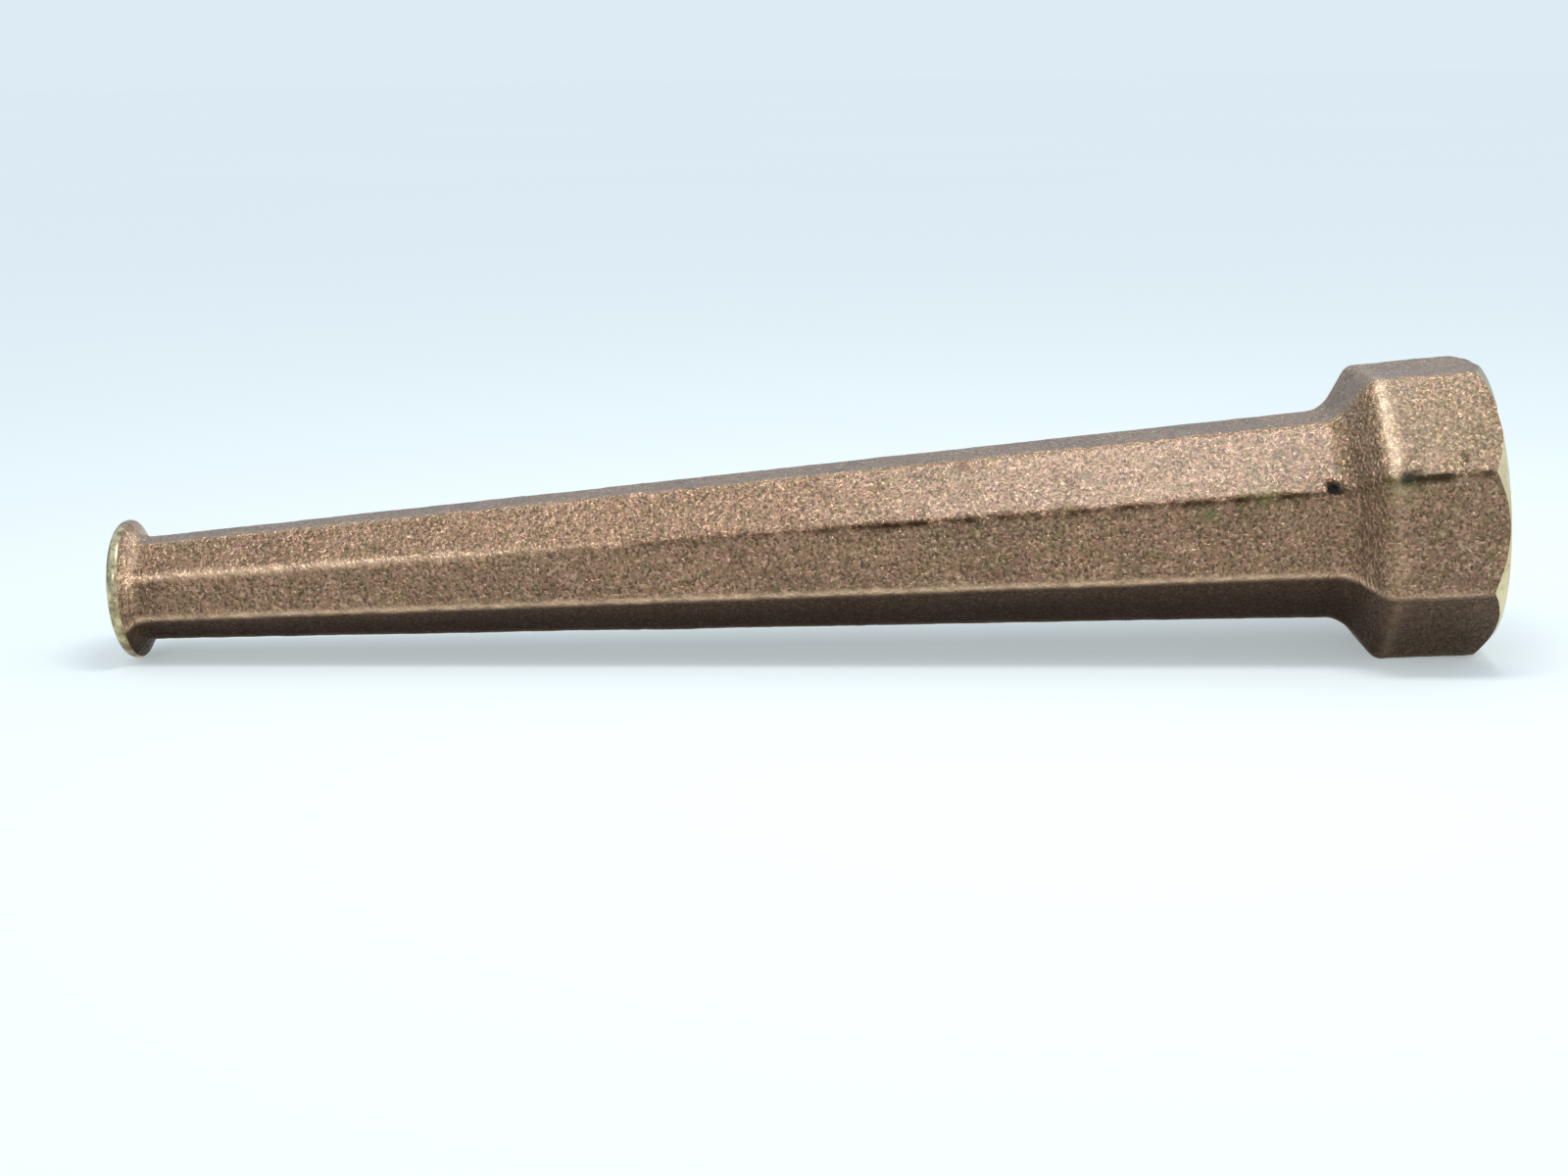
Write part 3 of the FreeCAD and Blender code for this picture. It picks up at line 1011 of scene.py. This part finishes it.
class NOZZLE_OT_stage(bpy.types.Operator):
    """Builds the pale table, the lamps, the room and the camera"""
    bl_idname = "nozzle.stage"
    bl_label = "Table, lamps and camera"

    def execute(self, context):
        stage = context.scene.nozzle_stage
        foot, tilt = resting_plane(bpy.data.objects["bronze_casting"])
        self.add_table(stage, foot, tilt)
        self.add_lamps(stage)
        self.add_room(context.scene, stage)
        self.add_camera(context.scene, stage)
        return {"FINISHED"}

    def add_table(self, stage, foot, tilt):
        """Flat table, tilted so that the nozzle rests on its bead and hub; its squares are
        smallest in the middle."""
        reach = np.linspace(-1, 1, 33)
        reach = TABLE_REACH * np.sign(reach) * np.abs(reach) ** 2
        along_axis = np.array([math.cos(tilt), 0, -math.sin(tilt)])
        points = (np.array(foot) * np.array([1, 0, 1])
                  + reach[None, :, None] * along_axis
                  + reach[:, None, None] * np.array([0, 1, 0]))
        table = new_piece("table", points, grid_quads(points)[:-1, :-1].reshape(-1, 4))
        table.data.materials.append(material("pale_table", table_material, stage))

    def add_lamps(self, stage):
        """Soft lamp overhead and small lamps at the left and the upper left: name, place, aim,
        sizes, power and colour."""
        lamps = (
            ("overhead_lamp", (-0.026, -0.058, 0.330), (-0.030, -0.010, 0.0),
             (0.16, 0.08), stage.key_power, (1.0, 0.985, 0.97)),
            ("left_lamp", (-0.290, -0.400, 0.260), (-0.160, 0.0, 0.0),
             (0.09, 0.05), stage.side_power, (1.0, 0.95, 0.90)),
            ("rim_lamp", (-0.216, -0.030, 0.330), (-0.020, 0.0, 0.0),
             (0.05, 0.05), stage.rim_power, (1.0, 0.97, 0.92)),
        )
        for name, at, aim, size, power, tone in lamps:
            lamp = bpy.data.lights.new(name, "AREA")
            lamp.shape = "RECTANGLE"
            lamp.size, lamp.size_y = size
            lamp.energy = power
            lamp.color = tone
            holder = bpy.data.objects.new(name, lamp)
            holder.location = at
            way = Vector(aim) - Vector(at)
            holder.rotation_euler = way.to_track_quat("-Z", "Y").to_euler()
            bpy.context.scene.collection.objects.link(holder)

    def add_room(self, scene, stage):
        """Room light, stronger from above and from the right; the camera sees a plain
        backdrop."""
        world = bpy.data.worlds.new("room")
        world.use_nodes = True
        world.node_tree.nodes.clear()
        board = Board(world.node_tree)
        split = board.add("ShaderNodeSeparateXYZ",
                          Vector=board.add("ShaderNodeTexCoord").outputs["Generated"])
        level = board.ramp(split.outputs["Z"], 0.10, 0.60, 0.62, 1.12)
        right = board.ramp(split.outputs["X"], 0.60, 0.95, 0.0, 0.45)
        strength = board.times(board.math("ADD", level, right), stage.room)
        light = board.add("ShaderNodeBackground", Color=ROOM, Strength=strength)
        pale = board.add("ShaderNodeBackground", Color=BACKDROP, Strength=1.0)
        seen = board.add("ShaderNodeLightPath").outputs["Is Camera Ray"]
        choose = board.add("ShaderNodeMixShader")
        for end, value in zip(choose.inputs, (seen, light.outputs[0], pale.outputs[0])):
            board.put(end, value)
        board.add("ShaderNodeOutputWorld", Surface=choose.outputs[0])
        scene.world = world
        scene.view_settings.view_transform = "Standard"
        scene.view_settings.look = "None"
        scene.view_settings.gamma = 0.8

    def add_camera(self, scene, stage):
        """Camera above and in front of the nozzle's middle, rolled about its line of sight."""
        rise, yaw, roll = stage.camera_height, stage.camera_turn, stage.camera_roll
        forward = Vector((math.sin(yaw) * math.cos(rise), math.cos(yaw) * math.cos(rise),
                          -math.sin(rise)))
        level = Vector((math.cos(yaw), -math.sin(yaw), 0))
        upright = level.cross(forward)
        right = level * math.cos(roll) + upright * math.sin(roll)
        up = upright * math.cos(roll) - level * math.sin(roll)
        middle = Vector(((BODY_LOW.x + BODY_HIGH.x) / 2, 0, 0))
        aim = middle + right * stage.camera_along + up * stage.camera_up
        lens = bpy.data.cameras.new("camera")
        lens.lens = stage.focal_length
        lens.sensor_width = 36.0
        lens.clip_start = 0.01
        lens.clip_end = 20.0
        camera = bpy.data.objects.new("camera", lens)
        pose = Matrix((right, up, -forward)).transposed().to_4x4()
        pose.translation = aim - forward * stage.camera_distance
        camera.matrix_world = pose
        scene.collection.objects.link(camera)
        scene.camera = camera


class NOZZLE_PT_panel(bpy.types.Panel):
    """Lists the pieces and the sizes and colours they are made from"""
    bl_label = "Octagonal hose nozzle"
    bl_space_type = "VIEW_3D"
    bl_region_type = "UI"
    bl_category = "Nozzle"

    def draw(self, context):
        for operator in OPERATORS:
            self.layout.operator(operator.bl_idname)
        for name, group in GROUPS.items():
            box = self.layout.box()
            box.label(text=group.__doc__)
            for key in group.__annotations__:
                box.prop(getattr(context.scene, name), key)


GROUPS = {
    "nozzle_casting": CastingSizes,
    "nozzle_bore": BoreSizes,
    "nozzle_skin": SkinLook,
    "nozzle_stage": StageLook,
}
OPERATORS = (NOZZLE_OT_finishes, NOZZLE_OT_casting, NOZZLE_OT_washer, NOZZLE_OT_stage)


def register():
    """Names each property after its key, and registers every class."""
    for group in GROUPS.values():
        for key, entry in group.__annotations__.items():
            entry.keywords["name"] = key.replace("_", " ").capitalize()
        bpy.utils.register_class(group)
    for operator in OPERATORS:
        bpy.utils.register_class(operator)
    bpy.utils.register_class(NOZZLE_PT_panel)
    for name, group in GROUPS.items():
        setattr(bpy.types.Scene, name, PointerProperty(type=group))


def unregister():
    for name in GROUPS:
        delattr(bpy.types.Scene, name)
    bpy.utils.unregister_class(NOZZLE_PT_panel)
    for operator in reversed(OPERATORS):
        bpy.utils.unregister_class(operator)
    for group in reversed(list(GROUPS.values())):
        bpy.utils.unregister_class(group)


def main():
    """Makes every piece and the stage."""
    register()
    bpy.ops.nozzle.finishes()
    bpy.ops.nozzle.casting()
    bpy.ops.nozzle.washer()
    bpy.ops.nozzle.stage()


if __name__ == "__main__":
    main()
